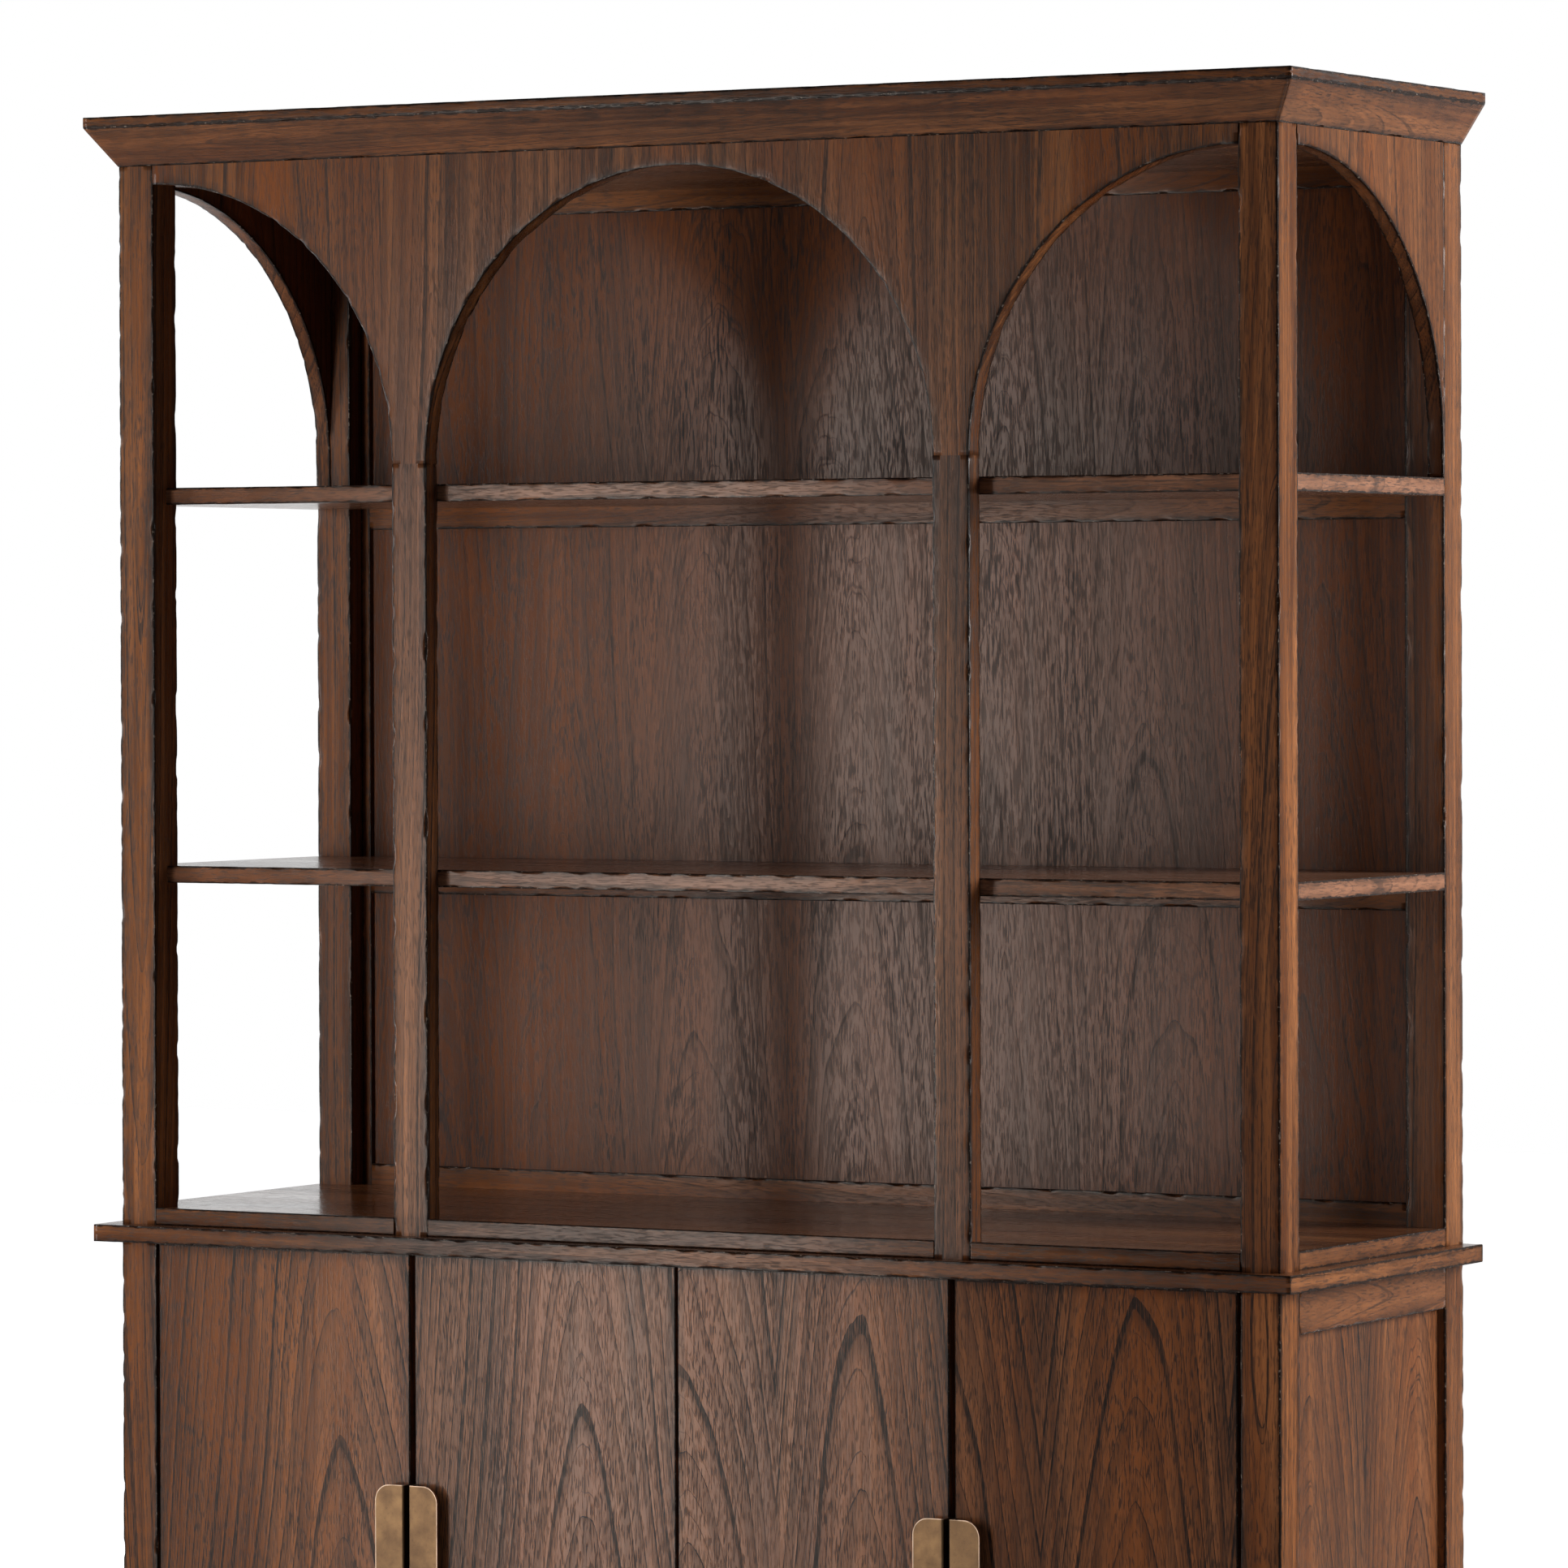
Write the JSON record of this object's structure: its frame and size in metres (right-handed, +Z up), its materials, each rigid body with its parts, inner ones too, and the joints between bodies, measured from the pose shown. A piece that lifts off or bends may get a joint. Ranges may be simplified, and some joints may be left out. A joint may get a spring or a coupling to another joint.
{
  "type": "hutch cabinet",
  "caption": "Dark stained wood hutch: open arched shelves with a splayed cornice, standing on a cupboard with flat inset doors and brass edge pulls.",
  "frame": {"origin": "on the floor under the middle of the whole outline", "axes": "+Z up, front towards -Y, width along X"},
  "size_m": [1.638, 0.519, 2.266],
  "materials": {
    "frame_wood": "satin stain with rubbed, darkened edges",
    "board_wood": "satin stain with rubbed, darkened edges",
    "door_wood": "satin stain with rubbed, darkened edges",
    "panel_wood": "satin stain with rubbed, darkened edges",
    "brass": "aged satin brass",
    "steel": "satin"
  },
  "bodies": {
    "cabinet": {"base_back_panel": "panel_wood", "base_back_rail": "frame_wood", "base_bottom_board": "board_wood", "base_post_back_left": "frame_wood", "base_post_back_right": "frame_wood", "base_post_front_left": "frame_wood", "base_post_front_right": "frame_wood", "base_shelf_left": "board_wood", "base_shelf_right": "board_wood", "base_top_board": "board_wood", "centre_partition": "board_wood", "cornice_front": "frame_wood", "cornice_left": "frame_wood", "cornice_right": "frame_wood", "door_catches": "steel", "door_stop_rail": "frame_wood", "front_bottom_rail": "frame_wood", "front_frieze": "frame_wood", "hinge_carcass_leaves": "brass", "hutch_back_panel_lower": "panel_wood", "hutch_back_panel_top": "panel_wood", "hutch_back_panel_upper": "panel_wood", "hutch_back_rail_bottom": "frame_wood", "hutch_back_rail_lower": "frame_wood", "hutch_back_rail_top": "frame_wood", "hutch_back_rail_upper": "frame_wood", "hutch_back_stile_left": "frame_wood", "hutch_back_stile_right": "frame_wood", "hutch_bottom_board": "board_wood", "hutch_post_back_left": "frame_wood", "hutch_post_back_right": "frame_wood", "hutch_post_front_left": "frame_wood", "hutch_post_front_right": "frame_wood", "hutch_shelf_lower": "board_wood", "hutch_shelf_upper": "board_wood", "hutch_top_board": "board_wood", "locating_dowels": "frame_wood", "mullion_left": "frame_wood", "mullion_right": "frame_wood", "shelf_pins": "steel", "side_bottom_rail_left": "frame_wood", "side_bottom_rail_right": "frame_wood", "side_frieze_left": "frame_wood", "side_frieze_right": "frame_wood", "side_panel_left": "panel_wood", "side_panel_right": "panel_wood", "side_top_rail_left": "frame_wood", "side_top_rail_right": "frame_wood"},
    "left_outer_door": {"left_outer_door": "door_wood", "left_outer_pull": "brass", "left_outer_hinge_leaves": "brass"},
    "left_inner_door": {"left_inner_door": "door_wood", "left_inner_pull": "brass", "left_inner_hinge_leaves": "brass"},
    "right_outer_door": {"right_outer_door": "door_wood", "right_outer_pull": "brass", "right_outer_hinge_leaves": "brass"},
    "right_inner_door": {"right_inner_door": "door_wood", "right_inner_pull": "brass", "right_inner_hinge_leaves": "brass"}
  },
  "joints": [
    {"name": "left_outer_door_hinge", "type": "hinge", "parent": "cabinet", "child": "left_outer_door", "pos_m": [-0.72, -0.2225, 0.152], "axis": [0, 0, -1], "range_deg": [0, 105]},
    {"name": "left_inner_door_hinge", "type": "hinge", "parent": "cabinet", "child": "left_inner_door", "pos_m": [-0.0155, -0.2225, 0.152], "axis": [0, 0, 1], "range_deg": [0, 88]},
    {"name": "right_outer_door_hinge", "type": "hinge", "parent": "cabinet", "child": "right_outer_door", "pos_m": [0.72, -0.2225, 0.152], "axis": [0, 0, 1], "range_deg": [0, 105]},
    {"name": "right_inner_door_hinge", "type": "hinge", "parent": "cabinet", "child": "right_inner_door", "pos_m": [0.0155, -0.2225, 0.152], "axis": [0, 0, -1], "range_deg": [0, 88]}
  ]
}
